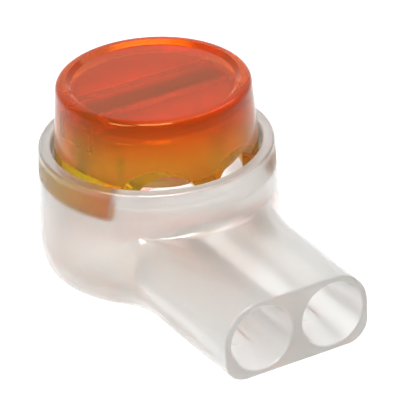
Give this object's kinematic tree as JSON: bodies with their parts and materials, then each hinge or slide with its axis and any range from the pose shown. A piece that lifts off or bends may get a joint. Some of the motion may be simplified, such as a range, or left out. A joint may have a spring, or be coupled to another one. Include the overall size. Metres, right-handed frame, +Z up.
{
  "type": "gel-filled wire connector",
  "caption": "Clear cup with a flat spout of paired wire entries, an amber push cap, a folded slotted contact and a sealing gel fill.",
  "frame": {"origin": "middle of the round cup's flat base", "axes": "+Z up through the push cap, -Y out of the spout where the wires enter, X across the two wires"},
  "size_m": [0.0104, 0.0166, 0.0084],
  "materials": {
    "clear_body": "clear moulded plastic, glossy, slightly milky",
    "amber_cap": "amber moulded plastic, see-through, glossy",
    "tinned_contact": "bright tin plate on folded sheet",
    "sealing_gel": "clear soft sealing gel, wet look"
  },
  "bodies": {
    "connector_body": {"body": "clear_body"},
    "push_cap": {"cap": "amber_cap", "contact": "tinned_contact", "gel": "sealing_gel"}
  },
  "joints": [
    {"name": "cap_press", "type": "slide", "parent": "connector_body", "child": "push_cap", "axis": [0, 0, -1], "range_m": [0, 0.0028]}
  ]
}
